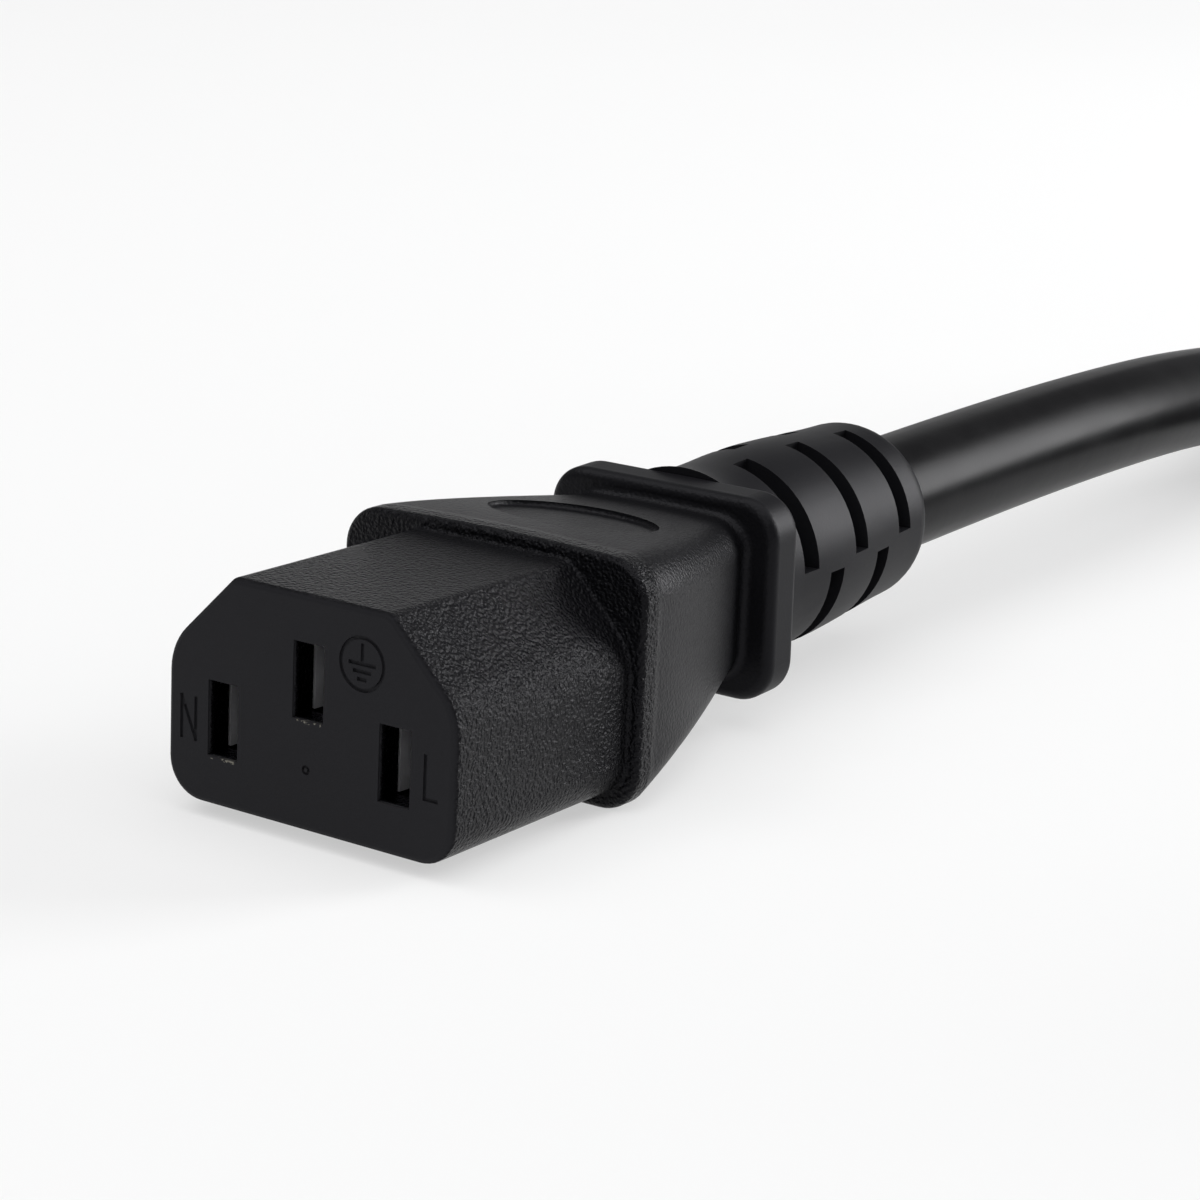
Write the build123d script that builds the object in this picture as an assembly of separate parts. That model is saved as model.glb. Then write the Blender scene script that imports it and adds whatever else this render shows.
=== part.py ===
from build123d import *
import os
from math import atan2, cos, degrees, pi, radians, sin, sqrt, tan

# A C13 power connector moulded on the end of a three-core lead, with the C14 plug on the far end.
# Millimetres. The origin is midway between the live and neutral slots, on the engagement face.
# +Y runs back along the connector to its cord, and +Z is up, on the earth slot's side.

# Contact layout of the 10 A appliance coupler
pin_pitch = 14.0            # live slot to neutral slot
earth_rise = 4.0            # earth slot's centre above the other two
slot_width = 2.5
slot_height = 5.1

# Engagement sleeve of the connector
sleeve_half_width = 11.7
sleeve_top = 9.68
sleeve_bottom = -5.92
sleeve_chamfer = 5.35       # leg of each top corner's 45 degree cut
sleeve_side_ease = 4.2      # rounding where a cut meets a side
sleeve_top_ease = 1.0       # the same where it meets the top
sleeve_corner = 2.7         # bottom corners
sleeve_length = 19.0        # face to the flange's front
sleeve_rim = 0.45           # rounding round the face
face_wall = 2.0             # moulding in front of the carrier
mark_depth = 0.15           # how deep the face's letters are sunk

# Front flange and the grip that tapers back from it
flange_side_step = 0.95     # how far the flange stands out from the sleeve
flange_lower_step = 1.03
flange_upper_step = 0.67
flange_crown = 0.35         # how much higher the top is at its middle
flange_corner = 3.05
flange_rim = 0.5            # rounding of the front edge
flange_depth = 1.6          # straight stretch of the rim
root_fillet = 0.3           # sleeve to flange
neck_half_width = 7.0
neck_bottom = -2.85
neck_top = 8.7
neck_corner = 2.4
grip_length = 21.0          # flange's front to the rear flange's front
side_taper = 1.35           # powers that shape the taper: a high one keeps the width for longer
under_taper = 0.82
upper_taper = 1.15
neck_overlap = 0.5          # grip run on into the rear flange

# Thumb recess in the top of the grip
recess_half_width = 6.6
recess_half_length = 4.6
recess_behind = 9.6         # its centre, from the flange's front
recess_depth = 0.5
recess_round = 0.3          # rounding of its floor's edge

# Rear flange, and the strain relief behind it, on an axis that rises a little
rear_rise = 2.0             # degrees
rear_axis_height = 2.95     # above the origin, at the rear flange's front
rear_half_width = 9.85
rear_half_height = 7.62
rear_corner = 3.0
rear_depth = 3.6
rear_rim = 0.8
rear_fillet = 0.6           # neck to rear flange
relief_length = 26.3        # behind the rear flange
relief_flare = 8.2          # radius at the flange
relief_radius = 7.85        # radius of the barrel
relief_waist = 0.32         # share of the length where the flare has run out
relief_end_radius = 7.25
relief_round = 2.4          # rounding of its far end
relief_root = 0.5           # how far the relief runs into the flange
relief_first = 6.1          # flange to the middle of the first slot
relief_pitch = 7.45
relief_rows = 3
relief_slot = 2.0
relief_skin = 0.8           # left over the sheath at each slot's floor
relief_rib = 8.0            # degrees of rib at top and bottom, each side of the middle
relief_side_rib = 3.0       # the same at the sides

# Lead
cord_diameter = 9.7
core_diameter = 3.4
conductor_diameter = 1.85
core_gap = 0.12             # between cores where the sheath gathers them
core_straight = 0.22        # share of a core's run that stays straight at each end
sheath_start = 12.0         # the sheath's end inside the connector, behind the neck

# Carrier and contacts
carrier_wall = 1.3          # moulding over the carrier, round the sleeve
carrier_length = 16.5
chamber_width = 3.8
chamber_height = 6.2
contact_strip = 0.5
contact_height = 5.0
contact_mouth = 1.3         # half the gap between the leaves at the mouth
contact_pinch = 0.85        # the same where they grip the pin
contact_length = 12.5
contact_setback = 0.3       # leaves start this far behind the face wall
contact_waist = 0.55        # share of the length where they grip
contact_web = 2.0           # straight stretch at the back
barrel_radius = 1.6
barrel_length = 7.0
barrel_floor = 1.0          # solid end of the barrel, before the conductor

# Plug
shroud_clearance = 0.4
shroud_wall = 2.2
shroud_depth = 17.5
shroud_rim = 0.5
plug_body_length = 17.5     # shroud's back to the strain relief
plug_carrier_length = 5.0
plug_relief_length = 25.0
plug_pin_width = 2.0
plug_pin_height = 4.0
plug_pin_inset = 1.6        # tips behind the shroud's mouth
plug_pin_nose = 0.5
plug_sheath_inside = 13.0
plug_neck_half_width = 9.2
plug_neck_half_height = 9.0
plug_taper = 1.4
plug_corner = 4.2
plug_neck_corner = 3.6
plug_relief_first = 5.1     # body's back to the middle of the relief's first slot
grip_grooves = 4
grip_first = 0.34           # shares of the body's length
grip_step = 0.15
groove_width = 1.2
groove_depth = 0.6
groove_height = 9.0

# Marks sunk into the face, each by its middle
mark_stroke = 0.26
letter_height = 2.75
n_mark = (-9.9, -0.35, 1.2)         # x, z and width
l_mark = (9.85, -0.2, 0.9)
earth_mark = (4.25, 6.05, 1.7)      # x, z and radius of the ring
earth_stem = 1.2                    # stem's top above the middle
earth_bars = (0.95, 0.6, 0.25)      # half lengths, from the top one down
earth_bar_step = 0.5
dot_mark = (-0.05, -1.8, 0.32)      # x, z and radius of the ring
pip_radius = 0.14                   # the pip left inside it

# Coil of the put-away length, with its tie
coil_middle_radius = 48.6
coil_centre = (45.8, 196.8)
coil_open_sweep = 50.0      # degrees where the outer lane is left for the lead to come in
tie_thickness = 0.8
tie_width = 9.0
tie_clearance = 0.01        # the strap is pulled tight round the lanes
lane_gap = 0.5              # the top lane rides this far clear of a close nest
lane_web = 4.0              # height of the filling between the two floor lanes

# Worked out from the sizes above
cord_radius = cord_diameter / 2
half_pitch = pin_pitch / 2
flange_half_width = sleeve_half_width + flange_side_step
flange_bottom = sleeve_bottom - flange_lower_step
flange_top = sleeve_top + flange_upper_step
floor = flange_bottom
neck_y = sleeve_length + grip_length
sleeve_middle = (sleeve_top + sleeve_bottom) / 2
relief_back = rear_depth + relief_length
core_circle = core_diameter / sqrt(3) + core_gap
ways = {"line": (half_pitch, 0.0), "neutral": (-half_pitch, 0.0), "earth": (0.0, earth_rise)}
core_angles = {"line": -30.0, "neutral": 210.0, "earth": 90.0}
lane_height = floor + tie_thickness + cord_radius
lane_nest = cord_diameter * sin(radians(60)) + lane_gap
plug_half_width = sleeve_half_width + shroud_clearance + shroud_wall
plug_axis = earth_rise - core_circle      # the plug's earth core runs straight back
plug_lift = floor - sleeve_bottom + shroud_clearance + shroud_wall
plug_axis_height = plug_lift + plug_axis
plug_x = coil_centre[0] + coil_middle_radius

# The lead's route where it isn't coiled, connector to coil and coil to plug
entry_x = coil_centre[0] - coil_middle_radius - cord_radius
def rear_axis(y):
    """Height of the strain relief's axis at this y."""
    return rear_axis_height + (y - neck_y) * tan(radians(rear_rise))


lead_route = [
    (0.0, neck_y + sheath_start, rear_axis(neck_y + sheath_start)),
    (0.0, 85.5, rear_axis(85.5)),
    (0.3, 120.5, 4.9),
    (-2.5, 150.0, 2.4),
    (entry_x, 175.0, lane_height),
    (entry_x, coil_centre[1], lane_height),
]
tail_route = [
    (plug_x, coil_centre[1], lane_height + lane_nest),
    (plug_x, 188.0, lane_height + lane_nest),
    (plug_x, 168.0, 9.85),
    (plug_x, 144.0, 6.4),
    (plug_x, 120.0, plug_axis_height),
    (plug_x, 96.0, plug_axis_height),
]


def across(y):
    """The plane across the connector at this y, with X to the right and Z up."""
    return Plane.XZ.offset(-y)


def sleeve_outline(grow=0.0):
    """The sleeve's section: two cut corners at the top, two round ones below."""
    w, top, low, cut = sleeve_half_width, sleeve_top, sleeve_bottom, sleeve_chamfer
    points = [(-w, low), (w, low), (w, top - cut), (w - cut, top), (cut - w, top), (-w, top - cut)]
    face = make_face(Polyline(*points, close=True))
    if grow:
        face = offset(face, grow, kind=Kind.INTERSECTION)
    face = fillet(face.vertices().sort_by(Axis.Y)[:2], sleeve_corner + grow)
    face = fillet(face.vertices().sort_by(Axis.Y)[-4:-2], sleeve_side_ease + grow)
    return fillet(face.vertices().sort_by(Axis.Y)[-2:], sleeve_top_ease)


def crowned_outline(half_width, low, top, crown, corner):
    """A rounded rectangle whose top edge bows up by crown in the middle."""
    edges = [
        Line((-half_width, top), (-half_width, low)),
        Line((-half_width, low), (half_width, low)),
        Line((half_width, low), (half_width, top)),
        ThreePointArc((half_width, top), (0, top + crown), (-half_width, top)),
    ]
    face = make_face(edges)
    return fillet(face.vertices(), corner)


def plate(outline, y, depth):
    """An outline extruded back from y."""
    return extrude(across(y) * outline, -depth)


def grip_top(share):
    """Height of the grip's upper side, without its crown, at a share of the grip's length."""
    return neck_top + (flange_top - neck_top) * (1 - share ** upper_taper)


def grip():
    """The grip: five sections that narrow slowly behind the flange and faster near the neck."""
    sections = []
    start = sleeve_length + flange_depth
    for share in (0.0, 0.25, 0.5, 0.75, 1.0):
        side = 1 - share ** side_taper
        below = 1 - share ** under_taper
        sections.append(
            across(start + share * (neck_y + neck_overlap - start))
            * crowned_outline(
                neck_half_width + (flange_half_width - neck_half_width) * side,
                neck_bottom + (flange_bottom - neck_bottom) * below,
                grip_top(share),
                flange_crown * (0.5 + 0.5 * side),
                neck_corner + (flange_corner - neck_corner) * side,
            )
        )
    return loft(sections)


def strain_relief(length, flare, barrel, end, rows, first):
    """A barrel along +Y from y = 0, slotted in staggered quadrants; it is solid inside."""
    profile = make_face(
        [
            Polyline((0, length), (0, 0), (flare, 0)),
            Spline((flare, 0), (barrel, length * relief_waist), (end, length - relief_round),
                   tangents=[(-0.35, 1), (-0.02, 1)]),
            RadiusArc((end, length - relief_round), (end - relief_round, length), -relief_round),
            Line((end - relief_round, length), (0, length)),
        ]
    )
    barrel_solid = revolve(profile, Axis.Y)
    floor_radius = cord_radius + relief_skin
    upper = (relief_side_rib / 2 + 1, 90 - relief_rib)
    quadrants = {
        0.0: [upper, (180 + upper[0], 180 + upper[1])],
        0.5: [(90 + relief_rib, 180 - upper[0]), (270 + relief_rib, 360 - upper[0])],
    }
    for row in range(rows):
        for shift, spans in quadrants.items():
            middle = first + (row + shift) * relief_pitch
            if middle + relief_slot > length - relief_round:
                continue
            for low, high in spans:
                barrel_solid -= ring_sector(middle, relief_slot, floor_radius, flare * 1.5, low, high)
    return barrel_solid


def ring_sector(y, width, inner, outer, low, high):
    """A slice of ring round the Y axis between two angles, from +X towards +Z."""
    def at(radius, angle):
        return (radius * cos(radians(angle)), radius * sin(radians(angle)))

    middle = (low + high) / 2
    face = make_face(
        [
            ThreePointArc(at(inner, low), at(inner, middle), at(inner, high)),
            Line(at(inner, high), at(outer, high)),
            ThreePointArc(at(outer, high), at(outer, middle), at(outer, low)),
            Line(at(outer, low), at(inner, low)),
        ]
    )
    return plate(face, y - width / 2, width)


def arc_radii(points):
    """The largest tangent arc that each corner's two runs allow."""
    radii = []
    for before, here, after in zip(points, points[1:], points[2:]):
        first = Vector(*here) - Vector(*before)
        second = Vector(*after) - Vector(*here)
        turn = radians(first.get_angle(second))
        radii.append(0.45 * min(first.length, second.length) / tan(turn / 2))
    return radii


def tube(points, diameter, name=""):
    """A round section carried along straight runs joined by tangent arcs."""
    radii = arc_radii(points)
    path = FilletPolyline(*points, radius=radii) if radii else Line(*points)
    start = Vector(*points[0])
    heading = (Vector(*points[1]) - start).normalized()
    section = Plane(origin=start, z_dir=heading) * Circle(diameter / 2)
    solid = sweep(section, path)
    if name:
        expected = pi * diameter ** 2 / 4 * path.length
        print(name, "length", round(path.length, 1), "radii", [round(r, 1) for r in radii],
              "volume", round(solid.volume), "of", round(expected))
    return solid


def rear_frame():
    """Where the rear flange and strain relief stand: at the neck, tipped up by rear_rise."""
    return Pos(0, neck_y, rear_axis_height) * Rot(rear_rise, 0, 0)


def cores(barrel_back, sheath_end, axis_height, rise):
    """Each core's centreline from its crimp to the sheath's end, where the three lie together."""
    lift = tan(radians(rise))
    span = sheath_end - barrel_back
    paths = {}
    for way, (x, z) in ways.items():
        angle = radians(core_angles[way])
        x_end = core_circle * cos(angle)
        rise_end = core_circle * sin(angle)
        y_end = sheath_end - rise_end * lift
        z_end = axis_height + rise_end
        straight = core_straight * span
        paths[way] = [
            (x, barrel_back, z),
            (x, barrel_back + straight, z),
            (x_end, y_end - straight, z_end - straight * lift),
            (x_end, y_end, z_end),
        ]
        if abs(x - x_end) + abs(z - z_end) < 0.01:
            paths[way] = [paths[way][0], (x, y_end, z)]
    return paths


def contact(x, z):
    """A folded brass strip: two leaves that pinch the pin, a web behind, and a crimp barrel."""
    mouth_y = face_wall + contact_setback
    back = mouth_y + contact_length
    grip_y = mouth_y + contact_waist * contact_length
    outer = chamber_width / 2
    leaf = [
        (contact_mouth, mouth_y),
        (contact_pinch, grip_y),
        (outer - contact_strip, back - contact_web),
        (outer - contact_strip, back - contact_strip),
    ]
    leaf_out = [
        (outer, back),
        (outer, back - contact_web),
        (contact_pinch + contact_strip, grip_y),
        (contact_mouth + contact_strip, mouth_y),
    ]
    right = leaf + [(0, back - contact_strip), (0, back)] + leaf_out
    half = make_face(Polyline(*right, close=True))
    strip = extrude(half, contact_height / 2, both=True)
    strip += mirror(strip, Plane.YZ)
    barrel = plate(Circle(barrel_radius), back, barrel_length)
    barrel -= plate(Circle(conductor_diameter / 2), back + barrel_floor, barrel_length)
    return Pos(x, 0, z) * (strip + barrel)


def plug_pin(x, z):
    """A flat pin with a chamfered nose, and a crimp barrel behind the carrier."""
    back = shroud_depth + plug_carrier_length
    pin = Pos(0, (plug_pin_inset + back) / 2, 0) * Box(
        plug_pin_width, back - plug_pin_inset, plug_pin_height)
    nose = pin.faces().sort_by(Axis.Y)[0].edges()
    pin = chamfer(nose, plug_pin_nose)
    barrel = plate(Circle(barrel_radius), back, barrel_length)
    barrel -= plate(Circle(conductor_diameter / 2), back + barrel_floor, barrel_length)
    return Pos(x, 0, z) * (pin + barrel)


def core_pieces(paths, barrel_back):
    """The insulation and the conductor of each core; the conductor reaches into the barrel."""
    made = {}
    for way, points in paths.items():
        insulation = tube(points, core_diameter)
        x, _, z = points[0]
        stub = plate(Circle(conductor_diameter / 2), barrel_back - barrel_length + barrel_floor,
                     barrel_length - barrel_floor)
        strand = tube(points, conductor_diameter) + Pos(x, 0, z) * stub
        made[way] = (insulation - strand, strand)
    return made


def face_marks():
    """The letters N and L and the protective earth sign, as strokes sunk into the face."""
    def bar(x0, z0, x1, z1):
        length = sqrt((x1 - x0) ** 2 + (z1 - z0) ** 2)
        turn = degrees(atan2(z1 - z0, x1 - x0))
        return Pos((x0 + x1) / 2, (z0 + z1) / 2) * Rot(0, 0, turn) * Rectangle(
            length + mark_stroke, mark_stroke)

    def letter(middle_x, middle_z, width):
        half = letter_height / 2
        return middle_x - width / 2, middle_x + width / 2, middle_z - half, middle_z + half

    left, right, low, high = letter(*n_mark)
    marks = bar(left, low, left, high)
    marks += bar(right, low, right, high)
    marks += bar(left, high, right, low)
    left, right, low, high = letter(*l_mark)
    marks += bar(left, low, left, high)
    marks += bar(left, low, right, low)
    x, z, ring = earth_mark
    marks += Pos(x, z) * (Circle(ring + mark_stroke / 2) - Circle(ring - mark_stroke / 2))
    marks += bar(x, z + earth_stem, x, z)
    for step, reach in enumerate(earth_bars):
        level = z - step * earth_bar_step
        marks += bar(x - reach, level, x + reach, level)
    x, z, dot = dot_mark
    marks += Pos(x, z) * (Circle(dot) - Circle(pip_radius))
    return plate(marks, -1, 1 + mark_depth)


def thumb_recess():
    """An oval with a flat floor that follows the slope of the grip's upper side."""
    before = (recess_behind - recess_half_length - flange_depth) / (grip_length - flange_depth)
    after = (recess_behind + recess_half_length - flange_depth) / (grip_length - flange_depth)
    slope = degrees(atan2(grip_top(before) - grip_top(after), 2 * recess_half_length))
    middle = (grip_top(before) + grip_top(after)) / 2 + flange_crown - recess_depth
    oval = extrude(Ellipse(recess_half_width, recess_half_length), 10 * recess_depth)
    oval = fillet(oval.faces().sort_by(Axis.Z)[0].edges(), recess_round)
    return Pos(0, sleeve_length + recess_behind, middle) * Rot(-slope, 0, 0) * oval


def rooted(body, piece, radius):
    """A piece joined to the body with a fillet where the two meet."""
    joined = body + piece
    return fillet(new_edges(body, piece, combined=joined), radius)


def connector_pieces(lead):
    """The connector: its overmould and all that it is moulded round."""
    made = {}
    carrier_back = face_wall + carrier_length
    carrier = plate(sleeve_outline(-carrier_wall), face_wall, carrier_length)
    for x, z in ways.values():
        chamber = Pos(x, face_wall + carrier_length / 2, z) * Box(
            chamber_width, carrier_length, chamber_height)
        carrier -= chamber
    made["contact_carrier"] = carrier

    contact_back = face_wall + contact_setback + contact_length
    barrel_back = contact_back + barrel_length
    paths = cores(barrel_back, neck_y + sheath_start, lead_route[0][2], rear_rise)
    inner = core_pieces(paths, barrel_back)
    for way, (x, z) in ways.items():
        made[way + "_contact"] = contact(x, z)
        made[way + "_insulation"], made[way + "_conductor"] = inner[way]

    sleeve = plate(sleeve_outline(), 0, sleeve_length + flange_rim)
    sleeve = fillet(sleeve.faces().sort_by(Axis.Y)[0].edges(), sleeve_rim)
    rim = plate(
        crowned_outline(flange_half_width, flange_bottom, flange_top, flange_crown, flange_corner),
        sleeve_length, flange_depth)
    rim = fillet(rim.faces().sort_by(Axis.Y)[0].edges(), flange_rim)
    rear = plate(RectangleRounded(2 * rear_half_width, 2 * rear_half_height, rear_corner),
                 0, rear_depth)
    rear = fillet(rear.faces().sort_by(Axis.Y)[0].edges() + rear.faces().sort_by(Axis.Y)[-1].edges(),
                  rear_rim)
    relief = strain_relief(relief_length, relief_flare, relief_radius, relief_end_radius,
                           relief_rows, relief_first)
    body = rooted(grip() + rim, sleeve, root_fillet)
    body = rooted(body, rear_frame() * rear, rear_fillet)
    body += rear_frame() * (Pos(0, rear_depth - relief_root, 0) * relief)

    body -= thumb_recess()

    body -= face_marks()
    body -= plate(sleeve_outline(-carrier_wall), face_wall, carrier_length)
    for way, (x, z) in ways.items():
        body -= Pos(x, face_wall / 2, z) * Box(slot_width, face_wall + 0.2, slot_height)
        body -= Pos(x, 0, z) * plate(Circle(barrel_radius), carrier_back - 0.1,
                                     barrel_back - carrier_back + 0.1)
        body -= tube(paths[way], core_diameter)
    made["connector_overmould"] = body - lead
    return made


def plug_section(share, grow=0.0):
    """The plug body's section at a share of its length, from the shroud's back to the neck."""
    side = 1 - share ** plug_taper
    half_height = sleeve_middle - sleeve_bottom + shroud_clearance + shroud_wall
    width = plug_neck_half_width + (plug_half_width - plug_neck_half_width) * side
    height = plug_neck_half_height + (half_height - plug_neck_half_height) * side
    y = shroud_depth + 1 + share * (plug_body_length - 1)
    return across(y) * Pos(0, sleeve_middle) * RectangleRounded(
        2 * (width + grow), 2 * (height + grow),
        plug_neck_corner + (plug_corner - plug_neck_corner) * share)


def plug_pieces():
    """The plug on the far end, in its own frame: origin midway between its flat pins' axes."""
    made = {}
    carrier_back = shroud_depth + plug_carrier_length
    cavity = plate(sleeve_outline(shroud_clearance), 0, carrier_back)
    carrier = plate(sleeve_outline(shroud_clearance), shroud_depth, plug_carrier_length)
    barrel_back = carrier_back + barrel_length
    body_back = shroud_depth + plug_body_length
    end = body_back - relief_root + plug_relief_length
    paths = cores(barrel_back, end - plug_sheath_inside, plug_axis, 0.0)
    inner = core_pieces(paths, barrel_back)
    for way, (x, z) in ways.items():
        pin = plug_pin(x, z)
        made["plug_" + way + "_pin"] = pin
        made["plug_" + way + "_insulation"], made["plug_" + way + "_conductor"] = inner[way]
        carrier -= Pos(x, carrier_back / 2, z) * Box(plug_pin_width, carrier_back, plug_pin_height)
    made["plug_carrier"] = carrier

    body = plate(sleeve_outline(shroud_clearance + shroud_wall), 0, shroud_depth + 1)
    body = fillet(body.faces().sort_by(Axis.Y)[0].edges(), shroud_rim)
    body += loft([plug_section(share) for share in (0.0, 0.33, 0.66, 1.0)])
    for groove in range(grip_grooves):
        share = grip_first + groove * grip_step
        ring = plug_section(share, 1.0) - plug_section(share, -groove_depth)
        side = extrude(ring, groove_width / 2, both=True)
        keep = Pos(0, shroud_depth + plug_body_length / 2, sleeve_middle) * Box(
            4 * plug_half_width, 2 * plug_body_length, groove_height)
        body -= side & keep
    relief = strain_relief(plug_relief_length, relief_flare, relief_radius, relief_end_radius,
                           relief_rows, plug_relief_first)
    body += Pos(0, body_back - relief_root, plug_axis) * relief
    body -= cavity
    for way, (x, z) in ways.items():
        body -= Pos(x, 0, z) * plate(Circle(barrel_radius), carrier_back - 0.1, barrel_length + 0.1)
        body -= tube(paths[way], core_diameter)
    body -= Pos(0, 0, plug_axis) * plate(Circle(cord_radius), end - plug_sheath_inside,
                                         plug_sheath_inside + 1)
    made["plug_overmould"] = body
    place = Pos(plug_x, tail_route[-1][1] - (end - plug_sheath_inside), plug_lift)
    return {name: place * piece for name, piece in made.items()}


def lane(section, low, sweep):
    """A section drawn with the coil's axis at X = 0, turned round that axis from an angle."""
    stand = Pos(coil_centre[0], coil_centre[1], lane_height)
    return stand * Rot(0, 0, low) * revolve(Plane.XZ * section, Axis.Z, sweep)


def coil():
    """The put-away turns as one closed ring: two lanes on the floor and a nested one on top."""
    inner = Pos(coil_middle_radius - cord_radius, 0) * Circle(cord_radius)
    outer = Pos(coil_middle_radius + cord_radius, 0) * Circle(cord_radius)
    web = Pos(coil_middle_radius, 0) * Rectangle(cord_diameter, lane_web)
    top = Pos(coil_middle_radius, lane_nest) * Circle(cord_radius)
    stem = Pos(coil_middle_radius, lane_nest / 2) * Rectangle(lane_web / 2, lane_nest)
    floor_lanes = lane(inner + outer + web, coil_open_sweep - 180, 360 - coil_open_sweep)
    inner_lane = lane(inner, 180, coil_open_sweep)
    return floor_lanes + inner_lane + lane(top + stem, 0, 180)


def coil_tie():
    """A strap round the far side of the coil: the outline of three lanes, grown by its thickness."""
    lanes = [(-cord_radius, 0.0), (cord_radius, 0.0), (0.0, lane_nest)]

    def outline(radius):
        rings = [Pos(coil_middle_radius + x, z) * Circle(radius) for x, z in lanes]
        return make_hull([edge for ring in rings for edge in ring.edges()])

    strap = outline(cord_radius + tie_thickness) - outline(cord_radius + tie_clearance)
    turn = degrees(tie_width / coil_middle_radius)
    return lane(strap, 90 - turn / 2, turn)


lead = tube(lead_route, cord_diameter, "lead")
pieces = connector_pieces(lead)
pieces["cable_sheath"] = lead
pieces["cable_coil"] = coil()
pieces["cable_tail"] = tube(tail_route, cord_diameter, "tail")
pieces["coil_tie"] = coil_tie()
pieces.update(plug_pieces())

os.makedirs("parts", exist_ok=True)
for name, piece in pieces.items():
    export_step(piece, "parts/" + name + ".step")
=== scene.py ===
import math
import bpy
import numpy as np
from mathutils import Matrix, Vector


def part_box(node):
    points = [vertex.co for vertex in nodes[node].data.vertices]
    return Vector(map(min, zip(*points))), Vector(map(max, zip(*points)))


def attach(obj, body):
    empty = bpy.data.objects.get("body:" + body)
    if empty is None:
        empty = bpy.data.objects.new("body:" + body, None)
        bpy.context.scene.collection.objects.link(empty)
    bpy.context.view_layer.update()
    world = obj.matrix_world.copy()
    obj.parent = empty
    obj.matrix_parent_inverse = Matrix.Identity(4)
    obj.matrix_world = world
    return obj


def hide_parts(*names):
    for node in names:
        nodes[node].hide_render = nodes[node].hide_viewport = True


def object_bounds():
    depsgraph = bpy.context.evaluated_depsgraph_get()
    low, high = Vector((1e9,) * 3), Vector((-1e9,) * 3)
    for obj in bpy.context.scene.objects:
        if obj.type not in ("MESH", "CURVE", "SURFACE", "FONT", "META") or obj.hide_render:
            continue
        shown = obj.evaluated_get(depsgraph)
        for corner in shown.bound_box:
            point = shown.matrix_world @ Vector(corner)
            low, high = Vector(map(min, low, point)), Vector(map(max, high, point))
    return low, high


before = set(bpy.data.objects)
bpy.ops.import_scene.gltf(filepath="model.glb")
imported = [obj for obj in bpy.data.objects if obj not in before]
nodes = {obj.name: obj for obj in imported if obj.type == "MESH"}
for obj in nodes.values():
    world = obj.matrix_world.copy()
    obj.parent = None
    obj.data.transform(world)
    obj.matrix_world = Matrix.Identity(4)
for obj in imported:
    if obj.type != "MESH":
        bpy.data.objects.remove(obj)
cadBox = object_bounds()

mm = 0.001
metre = 1000.0    # in millimetres


# shader sums written as Python

class Wire:
    # one output socket; every operator adds the node that works it out
    def __init__(self, finish, socket):
        self.finish = finish
        self.socket = socket

    def sum(self, operation, *others):
        return self.finish.node("Math", {"operation": operation}, dict(enumerate((self,) + others)))

    def flipped(self, operation, other):
        return self.finish.node("Math", {"operation": operation}, {0: other, 1: self})

    def __add__(self, other): return self.sum("ADD", other)
    def __radd__(self, other): return self.sum("ADD", other)
    def __sub__(self, other): return self.sum("SUBTRACT", other)
    def __rsub__(self, other): return self.flipped("SUBTRACT", other)
    def __mul__(self, other): return self.sum("MULTIPLY", other)
    def __rmul__(self, other): return self.sum("MULTIPLY", other)
    def __abs__(self): return self.sum("ABSOLUTE")

    def atLeast(self, other): return self.sum("MAXIMUM", other)
    def sine(self): return self.sum("SINE")

    def rise(self, low, high):
        # 0 below low and 1 above high, with a soft step between
        return self.finish.node("MapRange", {"interpolation_type": "SMOOTHSTEP"},
                                {"Value": self, "From Min": low, "From Max": high})


class Finish:
    # one material and the nodes behind it
    def __init__(self, name):
        self.material = bpy.data.materials.new(name)
        self.material.use_nodes = True
        self.tree = self.material.node_tree
        self.tree.nodes.clear()

    def node(self, kind, settings=None, inputs=None, output=0):
        made = self.tree.nodes.new("ShaderNode" + kind)
        for name, value in (settings or {}).items():
            setattr(made, name, value)
        for name, value in (inputs or {}).items():
            if isinstance(value, Wire):
                self.tree.links.new(value.socket, made.inputs[name])
            else:
                made.inputs[name].default_value = value
        return Wire(self, made.outputs[output]) if len(made.outputs) else None

    def place(self):
        return self.node("TexCoord", output="Object")

    def axes(self):
        # the three Object coordinates in millimetres
        split = self.node("SeparateXYZ", inputs={0: self.place()})
        made = split.socket.node
        return [Wire(self, made.outputs[axis]) * metre for axis in range(3)]

    def noise(self, scale, detail=2.0, roughness=0.5, place=None):
        return self.node("TexNoise", {"noise_dimensions": "3D"},
                         {"Vector": place or self.place(), "Scale": scale, "Detail": detail,
                          "Roughness": roughness})

    def cells(self, scale):
        return self.node("TexVoronoi", {"feature": "SMOOTH_F1"},
                         {"Vector": self.place(), "Scale": scale}, "Distance")

    def mix(self, share, first, second):
        return self.node("Mix", {"data_type": "RGBA"}, {0: share, 6: first, 7: second}, 2)

    def bump(self, height, depth, strength=1.0, under=None):
        inputs = {"Height": height, "Distance": depth, "Strength": strength}
        if under is not None:
            inputs["Normal"] = under
        return self.node("Bump", inputs=inputs)

    def surface(self, **sockets):
        shader = self.node("BsdfPrincipled", inputs={
            name.replace("_", " "): value for name, value in sockets.items()})
        self.node("OutputMaterial", inputs={"Surface": shader})
        return self.material


def rgb(*values):
    return tuple(values) + (1.0,)


# finishes

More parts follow.
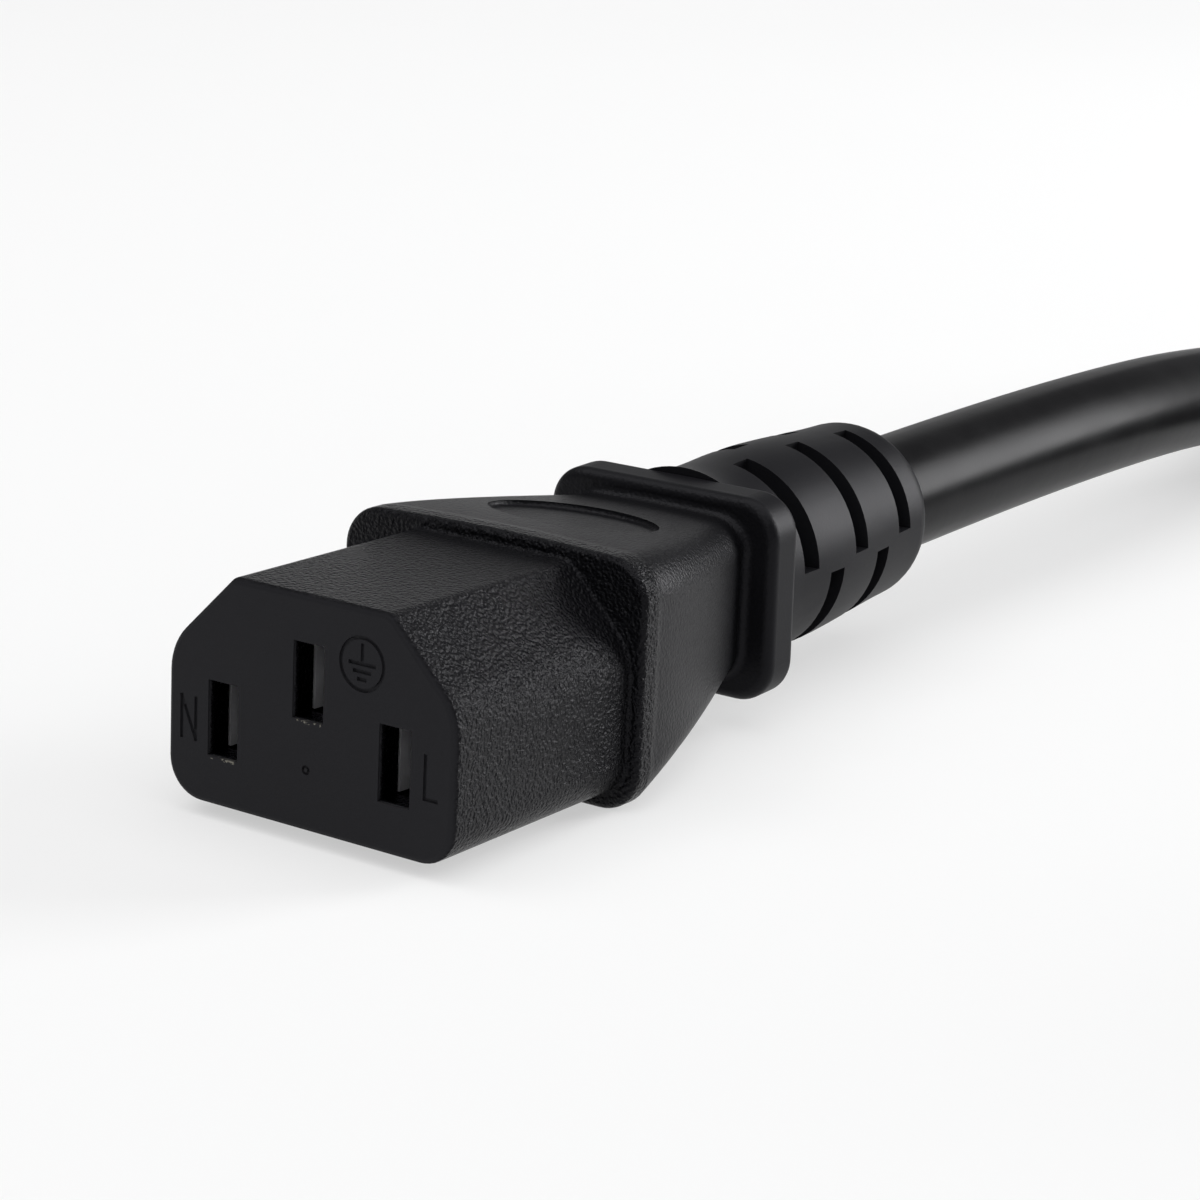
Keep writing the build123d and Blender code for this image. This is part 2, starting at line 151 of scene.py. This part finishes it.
mouldedPvc = {
    # the front face's colour is lighter than the rest: partly its own smooth finish, partly painted light
    # for the light it reflects from in front
    "face": (0.0125, 0.0125, 0.0141),
    "sleeve": (0.0040, 0.0040, 0.0048),
    # painted shade: the flange is coloured darker than the sleeve, for the shade the sleeve throws on its
    # front
    "flange": (0.0024, 0.0024, 0.0031),
    "rear": (0.0068, 0.0068, 0.0080),
    "dust": (0.011, 0.011, 0.012),
    "dustShares": (0.10, 0.3, 0.5),     # clouded all over, specks on the sleeve, specks on the face
    "cloudScale": 90.0,            # spots in each metre
    "cloudRise": (0.35, 0.75),
    "speckScale": 2600.0,
    "speckRise": (0.62, 0.75),
    "flash": (0.20, 0.19, 0.16),
    "gloss": 0.115,           # share of a plain plastic's reflection
    "glossTint": (0.93, 0.92, 1.0),
    "pebblePitch": 0.25,      # mm between the sleeve's grains
    "pebbleDepth": 0.16,      # mm
    "rippleFiner": 1.3,       # ripples for each pebble
    "pebbleShares": (0.7, 0.3),    # of the height: more on the sleeve, and on sleeve and grip
    "rippleShares": (0.5, 0.3),
    "satinPitch": 0.15,
    "satinDepth": 0.012,
    "roughness": 0.24,             # of the sleeve's grains
    "rougher": (0.10, 0.08, 0.14, 0.08),        # added on the grip, the rear, the face and the clouds
    "faceEnds": (0.05, 0.35),      # where the smooth front face ends, past the sunk marks
    "sleeveEnd": 18.9,             # the sleeve's back end, at the flange
    "grainEnds": (20.3, 21.2),     # where the sleeve's coarse grain fades
    "gripEnds": (39.0, 41.0),      # where the grip's finer grain fades
    "slotFeet": ((-7.0, -2.66), (0.1, 1.34)),   # across and up, just under two of the slots
    "flashReach": (0.9, 0.05),     # half its width and height
    "flashFade": (0.15, 0.08),
    "flashScale": 2100.0,
    "flashRise": (0.5, 0.58),
    # painted shade: near black for the slots' walls, which lie in deep shade
    "wallShadeColour": (0.0006, 0.0006, 0.0007),
    "wallReach": (9.0, -4.5, 8.6, 15.4),        # across, lowest, highest, across plus up
    "wallDepth": (0.3, 0.7, 17.0, 17.5),        # where the slots' shade starts and ends, front to back
    "edge": 0.1,                   # width of the step at the slots' shade and the sleeve's end
}


def makeMouldedPvc(name, back):
    # back is how far behind the origin the moulding's mouth lies
    look = mouldedPvc
    f = Finish(name)
    x, y, z = f.axes()
    y = y - back
    face = 1.0 - y.rise(*look["faceEnds"])
    coarse = (1.0 - y.rise(*look["grainEnds"])) * (1.0 - face)
    grained = (1.0 - y.rise(*look["gripEnds"])) * (1.0 - face)
    edge = look["edge"]
    flange = y.rise(look["sleeveEnd"], look["sleeveEnd"] + edge) * (1.0 - y.rise(*look["grainEnds"]))
    cloud = f.noise(look["cloudScale"], 3.0, 0.55)
    speck = f.noise(look["speckScale"], 2.0, 0.6)
    pebble = f.cells(metre / look["pebblePitch"])
    ripple = f.noise(metre * look["rippleFiner"] / look["pebblePitch"], 2.0, 0.6)
    satin = f.noise(metre / look["satinPitch"], 3.0, 0.6)
    colour = f.mix(grained, rgb(*look["rear"]), rgb(*look["sleeve"]))
    # painted shade: the flange's front takes a darker colour than the sleeve
    colour = f.mix(flange, colour, rgb(*look["flange"]))
    # painted light: the front face takes a lighter colour, standing in part for the light it reflects
    # from in front
    colour = f.mix(face, colour, rgb(*look["face"]))
    clouded, onSleeve, onFace = look["dustShares"]
    specks = coarse * (1.0 - flange) * onSleeve + face * onFace
    dusty = cloud.rise(*look["cloudRise"]) * clouded + speck.rise(*look["speckRise"]) * specks
    colour = f.mix(dusty, colour, rgb(*look["dust"]))
    if not back:
        wide, high = look["flashReach"]
        wideFade, highFade = look["flashFade"]
        for across, up in look["slotFeet"]:
            near = ((1.0 - abs(x - across).rise(wide, wide + wideFade))
                    * (1.0 - abs(z - up).rise(high, high + highFade)))
            moved = f.node("VectorMath", inputs={0: f.place(), 1: (across, up, 0)})
            ragged = f.noise(look["flashScale"], 2.0, 0.7, moved).rise(*look["flashRise"])
            colour = f.mix(near * face * ragged, colour, rgb(*look["flash"]))
    # painted shade: the slots' walls lie in deep shade, inside the sleeve and behind its face, so they
    # are coloured near black and made metallic, which keeps lit grain off them
    across, lowest, highest, corner = look["wallReach"]
    starts, full, fades, ends = look["wallDepth"]
    shadedWall = ((1.0 - abs(x).rise(across, across + edge)) * z.rise(lowest, lowest + edge)
            * (1.0 - z.rise(highest, highest + edge)) * (1.0 - (abs(x) + z).rise(corner, corner + edge))
            * y.rise(starts, full) * (1.0 - y.rise(fades, ends)))
    colour = f.mix(shadedWall, colour, rgb(*look["wallShadeColour"]))
    gripMore, rearMore, faceMore, cloudMore = look["rougher"]
    roughness = (look["roughness"] + (1.0 - coarse) * (1.0 - face) * gripMore + (1.0 - grained) * rearMore
                 + face * faceMore + cloud * cloudMore)
    pebbleMore, pebbleBoth = look["pebbleShares"]
    rippleMore, rippleBoth = look["rippleShares"]
    height = ((1.0 - pebble) * (coarse * pebbleMore + grained * pebbleBoth)
              + ripple * (coarse * rippleMore + grained * rippleBoth))
    pebbled = f.bump(height, look["pebbleDepth"] * mm, 1.0)
    normal = f.bump(satin, look["satinDepth"] * mm, 0.8, pebbled)
    return f.surface(Base_Color=colour, Roughness=roughness, Metallic=shadedWall, Normal=normal,
                     Specular_IOR_Level=look["gloss"], Specular_Tint=rgb(*look["glossTint"]))


plainPiece = {
    "grainsPerCloud": 12,
    "cloudRise": (0.3, 0.7),
    "cloudShade": 0.8,        # of the colour, where no second one is given
    "rougher": 0.12,
}


def makePlain(name, colour, roughness, metallic=0.0, pitch=0.3, depth=0.01, tint=None, gloss=0.5):
    # one colour clouded by a second, with a fine grain whose pitch and depth are in mm
    look = plainPiece
    f = Finish(name)
    cloud = f.noise(metre / (pitch * look["grainsPerCloud"]), 3.0, 0.5)
    second = tint or [c * look["cloudShade"] for c in colour]
    base = f.mix(cloud.rise(*look["cloudRise"]), rgb(*colour), rgb(*second))
    grain = f.noise(metre / pitch, 2.0, 0.5)
    return f.surface(Base_Color=base, Roughness=roughness + cloud * look["rougher"], Metallic=metallic,
                     Normal=f.bump(grain, depth * mm), Specular_IOR_Level=gloss)


cordJacket = {
    "colour": (0.0058, 0.0057, 0.0062),
    "haze": (0.0095, 0.0095, 0.0100),
    "cloudScale": 160.0,           # spots in each metre
    "cloudRise": (0.35, 0.8),
    "rippleScale": 220.0,
    "rippleDepth": 0.05,           # mm
    "grainScale": 3800.0,
    "grainDepth": 0.010,
    "roughness": 0.27,
    "rougher": 0.10,
    "gloss": 0.055,
    "glossTint": (0.95, 0.94, 1.0),
}


def makeCordJacket():
    look = cordJacket
    f = Finish("cordJacket")
    cloud = f.noise(look["cloudScale"], 3.0, 0.6)
    grain = f.noise(look["grainScale"], 3.0, 0.6)
    ripple = f.noise(look["rippleScale"], 2.0, 0.5)
    colour = f.mix(cloud.rise(*look["cloudRise"]), rgb(*look["colour"]), rgb(*look["haze"]))
    rippled = f.bump(ripple, look["rippleDepth"] * mm, 0.6)
    normal = f.bump(grain, look["grainDepth"] * mm, 0.6, rippled)
    return f.surface(Base_Color=colour, Roughness=look["roughness"] + cloud * look["rougher"],
                     Normal=normal, Specular_IOR_Level=look["gloss"],
                     Specular_Tint=rgb(*look["glossTint"]))


strapWeave = {
    # painted shade: the dark colour given to the weave's low places
    "hollowShade": (0.009, 0.009, 0.0095),
    "thread": (0.034, 0.034, 0.035),
    "threads": 9.0,           # radians of the weave's wave in each mm
    "weaveShare": 0.6,        # of the colour, and the fuzz has the rest
    "fuzzScale": 2500.0,
    "fuzzShare": 0.4,
    "depth": 0.12,            # mm
    "roughness": 0.86,
    "gloss": 0.2,
}


def makeStrapWeave():
    # a product of two sine waves at right angles, with fuzz over it
    look = strapWeave
    f = Finish("strapWeave")
    x, y, z = f.axes()
    warp = (x * look["threads"]).sine()
    weft = ((y + z) * look["threads"]).sine()
    height = warp * weft * 0.5 + 0.5
    fuzz = f.noise(look["fuzzScale"], 3.0, 0.7)
    # painted shade: the colour darkens where the weave's height is low, in its hollows, and the fuzz adds
    # random tone
    colour = f.mix(height * look["weaveShare"] + fuzz * look["fuzzShare"],
                   rgb(*look["hollowShade"]), rgb(*look["thread"]))
    return f.surface(Base_Color=colour, Roughness=look["roughness"], Specular_IOR_Level=look["gloss"],
                     Normal=f.bump(height + fuzz, look["depth"] * mm))


earthCore = {
    "green": (0.05, 0.30, 0.05),
    "yellow": (0.72, 0.58, 0.03),
    "stripes": 1.1,           # radians of their wave in each mm across
    "stripeRise": (0.55, 0.7),
    "grainScale": 3000.0,
    "grainDepth": 0.01,       # mm
    "roughness": 0.42,
}


def makeEarthCore():
    # green with a yellow stripe on each side of the core
    look = earthCore
    f = Finish("earthCore")
    x = f.axes()[0]
    stripe = abs((x * look["stripes"]).sine()).rise(*look["stripeRise"])
    colour = f.mix(stripe, rgb(*look["green"]), rgb(*look["yellow"]))
    return f.surface(Base_Color=colour, Roughness=look["roughness"],
                     Normal=f.bump(f.noise(look["grainScale"]), look["grainDepth"] * mm))


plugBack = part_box("plug_overmould")[0][1] * metre
finishes = {
    "connectorPvc": makeMouldedPvc("connectorPvc", 0.0),
    "plugPvc": makeMouldedPvc("plugPvc", plugBack),
    "insert": makePlain("insertPlastic", (0.009, 0.009, 0.0095), 0.42, gloss=0.22),
    "tinned": makePlain("tinnedContact", (0.62, 0.62, 0.64), 0.45, 0.6, 0.2, 0.004, (0.52, 0.52, 0.54)),
    "nickel": makePlain("nickelPin", (0.62, 0.60, 0.56), 0.22, 1.0, 0.2, 0.003, (0.52, 0.50, 0.47)),
    "copper": makePlain("copperStrand", (0.70, 0.30, 0.16), 0.3, 1.0, 0.15, 0.02, (0.50, 0.20, 0.11)),
    "line": makePlain("brownCore", (0.13, 0.045, 0.02), 0.4),
    "neutral": makePlain("blueCore", (0.02, 0.10, 0.42), 0.4),
    "earth": makeEarthCore(),
    "jacket": makeCordJacket(),
    "strap": makeStrapWeave(),
}
print("finishes made:", len(finishes))


def dress(nodeName, finish):
    piece = nodes[nodeName]
    piece.data.materials.clear()
    piece.data.materials.append(finishes[finish])


dress("connector_overmould", "connectorPvc")
dress("plug_overmould", "plugPvc")
dress("contact_carrier", "insert")
dress("plug_carrier", "insert")
for way in ("line", "neutral", "earth"):
    dress(way + "_contact", "tinned")
    dress("plug_" + way + "_pin", "nickel")
    for end in ("", "plug_"):
        dress(end + way + "_insulation", way)
        dress(end + way + "_conductor", "copper")
print("CAD nodes dressed")


# the lead: one cord from the connector, round its coil, to the plug

leadCord = {
    "diameter": 9.7,
    "length": 1.01,            # metres
    "exit": (0.0, 70.0, 4.0),
    "floor": -6.95,
    "strapUnder": 0.8,         # the coil lies on its strap
    "nestSlack": 0.5,          # added to the rise of a lane that nests on two others
    "centre": (45.8, 196.8),
    "middleRadius": 48.6,
    "perTurn": 16,
    "tightens": (290, 360),    # degrees of sweep over which the first turn gives way to the second,
    "climbs": (635, 695),      # the lead climbs on top
    "settles": (700, 755),     # and the last turn takes the middle radius
    "sweep": 900,
    "roundSteps": 10,
    "lengthSteps": 8,
}
entryX = leadCord["centre"][0] - leadCord["middleRadius"] - leadCord["diameter"] / 2
plugX = leadCord["centre"][0] + leadCord["middleRadius"]
low = leadCord["floor"] + leadCord["strapUnder"] + leadCord["diameter"] / 2
nest = leadCord["diameter"] * math.sin(math.radians(60)) + leadCord["nestSlack"]
high = low + nest
plugAxis = 3.487
outRoute = [(0.0, 52.0, 3.369), (0.0, 85.5, 4.539), (0.3, 120.5, 4.9), (-2.5, 150.0, 2.4),
            (entryX, 175.0, low), (entryX, 193.0, low)]
tailRoute = [(plugX, 188.0, high), (plugX, 168.0, 9.85), (plugX, 144.0, 6.4),
             (plugX, 120.0, plugAxis), (plugX, 96.0, plugAxis)]


def ease(sweep, span):
    # 0 before the span and 1 after it, with a soft step between
    share = min(max((sweep - span[0]) / (span[1] - span[0]), 0.0), 1.0)
    return share * share * (3 - 2 * share)


def coilPoints():
    # two turns and a half, clockwise from above: a wide one, a tight one, then half a turn on top,
    # each point at its angle on a circle whose radius and height ease from one turn's to the next's
    middle = leadCord["middleRadius"]
    wide = middle + leadCord["diameter"] / 2
    tight = middle - leadCord["diameter"] / 2
    step = 360 / leadCord["perTurn"]
    grow = 1 / math.cos(math.radians(step / 2))    # a NURBS line runs inside its points
    points = []
    for count in range(1, int(leadCord["sweep"] / step)):
        sweep = count * step
        radius = wide + (tight - wide) * ease(sweep, leadCord["tightens"])
        radius += (middle - tight) * ease(sweep, leadCord["settles"])
        height = low + nest * ease(sweep, leadCord["climbs"])
        angle = math.radians(180 - sweep)
        x = leadCord["centre"][0] + radius * grow * math.cos(angle)
        y = leadCord["centre"][1] + radius * grow * math.sin(angle)
        points.append((x, y, height))
    return points


def makeLead():
    curve = bpy.data.curves.new("leadCord", "CURVE")
    curve.dimensions = "3D"
    curve.bevel_depth = leadCord["diameter"] / 2 * mm
    curve.bevel_resolution = leadCord["roundSteps"]
    curve.resolution_u = leadCord["lengthSteps"]
    curve.use_fill_caps = True
    route = outRoute + coilPoints() + tailRoute
    spline = curve.splines.new("NURBS")
    spline.points.add(len(route) - 1)
    for point, (x, y, z) in zip(spline.points, route):
        point.co = (x * mm, y * mm, z * mm, 1.0)
    spline.order_u = 3
    spline.use_endpoint_u = True
    curve.materials.append(finishes["jacket"])
    piece = bpy.data.objects.new("leadCord", curve)
    bpy.context.collection.objects.link(piece)
    return piece


lead = makeLead()
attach(lead, "root")
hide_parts("cable_sheath", "cable_coil", "cable_tail")
print("lead laid")


# the strap round the coil

strap = {
    "thickness": 0.8,
    "width": 9.0,
    "clearance": 0.01,
    "around": 96,
    "rim": 0.25,
    "tabSpan": (0.10, 0.31),   # the overlapping end, as shares of the way round
    "tabLift": 0.6,
    "cornerSteps": 40,
}


def closedMesh(name, grid, finish):
    # a grid that closes in both directions
    rows, columns = grid.shape[:2]
    index = np.arange(rows * columns).reshape(rows, columns)
    right = np.roll(index, -1, axis=1)
    down = np.roll(index, -1, axis=0)
    quads = np.stack([index, right, np.roll(right, -1, axis=0), down], axis=-1).reshape(-1, 4)
    mesh = bpy.data.meshes.new(name)
    mesh.from_pydata(grid.reshape(-1, 3).tolist(), [], quads.tolist())
    mesh.polygons.foreach_set("use_smooth", np.ones(len(quads), dtype=bool))
    mesh.materials.append(finishes[finish])
    mesh.update()
    piece = bpy.data.objects.new(name, mesh)
    bpy.context.collection.objects.link(piece)
    return piece


def hullOfLanes(radius, share):
    # the outline of three round lanes, nested as a triangle, at a share 0..1 of the way round it:
    # three arcs of 120 degrees or so, joined by straight runs as long as the lanes' spacing
    half = leadCord["diameter"] / 2
    centres = np.array([(half, 0.0), (0.0, nest), (-half, 0.0)])
    slope = math.atan2(nest, half)
    normals = [-math.pi / 2, math.pi / 2 - slope, math.pi / 2 + slope, 3 * math.pi / 2]
    runs = []
    for corner in range(3):
        turn = np.linspace(normals[corner], normals[corner + 1], strap["cornerSteps"])
        runs.append(centres[corner] + radius * np.stack([np.cos(turn), np.sin(turn)], axis=-1))
    outline = np.concatenate(runs + [runs[0][:1]])
    gone = np.concatenate([[0.0], np.cumsum(np.linalg.norm(np.diff(outline, axis=0), axis=1))])
    at = share * gone[-1]
    return np.stack([np.interp(at, gone, outline[:, k]) for k in range(2)], axis=-1)


def makeStrap():
    # round the three lanes by one parameter, and round the strap's own thin section by the other
    half = leadCord["diameter"] / 2
    inner = half + strap["clearance"]
    outer = half + strap["thickness"]
    along = np.arange(strap["around"]) / strap["around"]
    overlaps = (along > strap["tabSpan"][0]) & (along < strap["tabSpan"][1])
    w = strap["width"] / 2
    rim = strap["rim"]
    # the section's points: across the strap in mm, and out through its thickness from 0 to 1
    section = [(-w + rim, 0), (-w * 0.5, 0), (0, 0), (w * 0.5, 0), (w - rim, 0), (w, 0.3), (w, 0.7),
               (w - rim, 1), (w * 0.5, 1), (0, 1), (-w * 0.5, 1), (-w + rim, 1), (-w, 0.7), (-w, 0.3)]
    rows = []
    for side, depth in section:
        ring = hullOfLanes(inner + (outer - inner) * depth, along)
        raised = hullOfLanes(inner + (outer + strap["tabLift"] - inner) * depth, along)
        ring = np.where(overlaps[:, None], raised, ring)
        turn = math.pi / 2 + side / leadCord["middleRadius"]
        reach = leadCord["middleRadius"] + ring[:, 0]
        rows.append(np.stack([
            leadCord["centre"][0] + reach * math.cos(turn),
            leadCord["centre"][1] + reach * math.sin(turn),
            low + ring[:, 1]], axis=-1))
    grid = np.stack(rows) * mm
    return closedMesh("coilStrap", grid, "strap")


tie = makeStrap()
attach(tie, "root")
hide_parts("coil_tie")
print("strap made")

withLead = ["plug_overmould", "plug_carrier"]
for way in ("line", "neutral", "earth"):
    withLead += ["plug_" + way + "_pin", "plug_" + way + "_insulation", "plug_" + way + "_conductor"]


# camera, floor and light

cameraView = {
    "azimuth": 33.6693,
    "elevation": 14.7490,
    "roll": 2.7662,
    "place": (117.2991, -143.5318, 58.8374),    # mm
    "lens": 91.891,
    "sensor": 36.0,
    "clip": (0.005, 20.0),     # metres
}


def makeCamera():
    a, e, r = (math.radians(cameraView[k]) for k in ("azimuth", "elevation", "roll"))
    back = Vector((math.sin(a) * math.cos(e), -math.cos(a) * math.cos(e), math.sin(e)))
    right = Vector((math.cos(a), math.sin(a), 0.0))
    up = back.cross(right)
    rolledRight = math.cos(r) * right + math.sin(r) * up
    rolledUp = math.cos(r) * up - math.sin(r) * right
    data = bpy.data.cameras.new("photoCamera")
    data.lens = cameraView["lens"]
    data.sensor_width = cameraView["sensor"]
    data.clip_start, data.clip_end = cameraView["clip"]
    camera = bpy.data.objects.new("photoCamera", data)
    turn = Matrix((rolledRight, rolledUp, back)).transposed().to_4x4()
    camera.matrix_world = Matrix.Translation(Vector(cameraView["place"]) * mm) @ turn
    bpy.context.collection.objects.link(camera)
    bpy.context.scene.camera = camera


studio = {
    "floor": (0.80, 0.80, 0.80),
    "floorWorn": (0.77, 0.77, 0.77),
    "floorRoughness": 0.9,
    "floorGloss": 0.1,
    "backgroundWhite": (0.97, 0.97, 0.97),
    "backgroundShare": 0.55,   # how much of that white the floor shows to the eye and in reflections
    "reach": 40.0,             # metres of floor each way
    "sunLevel": 2.15,          # soft light from overhead
    "sunFrom": (0.10, -0.20, 1.0),
    "sunSpread": 80.0,         # degrees
    "air": (0.14, 0.14, 0.143),
}
# each lamp: its middle and what it faces, in metres, its width and height, and its radiance
lamps = {
    "window": ((0.56, 0.86, 0.33), (0.02, 0.06, 0.0), (0.45, 0.60), 12.0),
    "frontPanel": ((0.30, -0.85, 0.60), (0.02, 0.06, 0.0), (0.80, 0.50), 1.3),
    "topPanel": ((-0.56, -0.26, 0.82), (0.0, 0.03, 0.0), (0.60, 0.50), 1.6),
    "backStrip": ((-0.56, 0.86, 0.22), (0.0, 0.04, 0.0), (0.60, 0.40), 0.45),
}


def makeFloor():
    f = Finish("paleFloor")
    shade = f.noise(3.0)
    colour = f.mix(shade, rgb(*studio["floor"]), rgb(*studio["floorWorn"]))
    paint = f.node("BsdfPrincipled",
                   inputs={"Base Color": colour, "Roughness": studio["floorRoughness"],
                           "Specular IOR Level": studio["floorGloss"]})
    white = f.node("Emission", inputs={"Color": rgb(*studio["backgroundWhite"])})
    seen = f.node("LightPath", output="Is Camera Ray")
    for kind in ("Is Glossy Ray", "Is Transmission Ray"):
        seen = seen.atLeast(f.node("LightPath", output=kind))
    both = f.node("MixShader", inputs={0: seen * studio["backgroundShare"], 1: paint, 2: white})
    f.node("OutputMaterial", inputs={"Surface": both})
    mesh = bpy.data.meshes.new("studioFloor")
    reach, level = studio["reach"], cadBox[0][2]
    mesh.from_pydata([(-reach, -reach, level), (reach, -reach, level), (reach, reach, level),
                      (-reach, reach, level)], [], [(0, 1, 2, 3)])
    mesh.materials.append(f.material)
    floor = bpy.data.objects.new("studioFloor", mesh)
    bpy.context.collection.objects.link(floor)


def addLamp(name, kind, place, aim):
    data = bpy.data.lights.new(name, kind)
    lamp = bpy.data.objects.new(name, data)
    lamp.location = place
    lamp.rotation_euler = (Vector(aim) - Vector(place)).to_track_quat("-Z", "Y").to_euler()
    lamp.visible_camera = False
    bpy.context.collection.objects.link(lamp)
    return data


def makeLights():
    overhead = addLamp("overhead", "SUN", studio["sunFrom"], (0, 0, 0))
    overhead.energy = studio["sunLevel"]
    overhead.angle = math.radians(studio["sunSpread"])
    for name, (place, aim, (width, height), radiance) in lamps.items():
        panel = addLamp(name, "AREA", place, aim)
        panel.shape = "RECTANGLE"
        panel.size, panel.size_y = width, height
        panel.energy = radiance * math.pi * width * height


def makeAir():
    world = bpy.data.worlds.new("studioAir")
    world.use_nodes = True
    world.node_tree.nodes["Background"].inputs["Color"].default_value = rgb(*studio["air"])
    bpy.context.scene.world = world
    bpy.context.scene.view_settings.view_transform = "Standard"


makeCamera()
print("camera placed")
makeFloor()
print("floor laid")
makeLights()
makeAir()
print("lamps and air set:", len(lamps) + 1, "lamps")
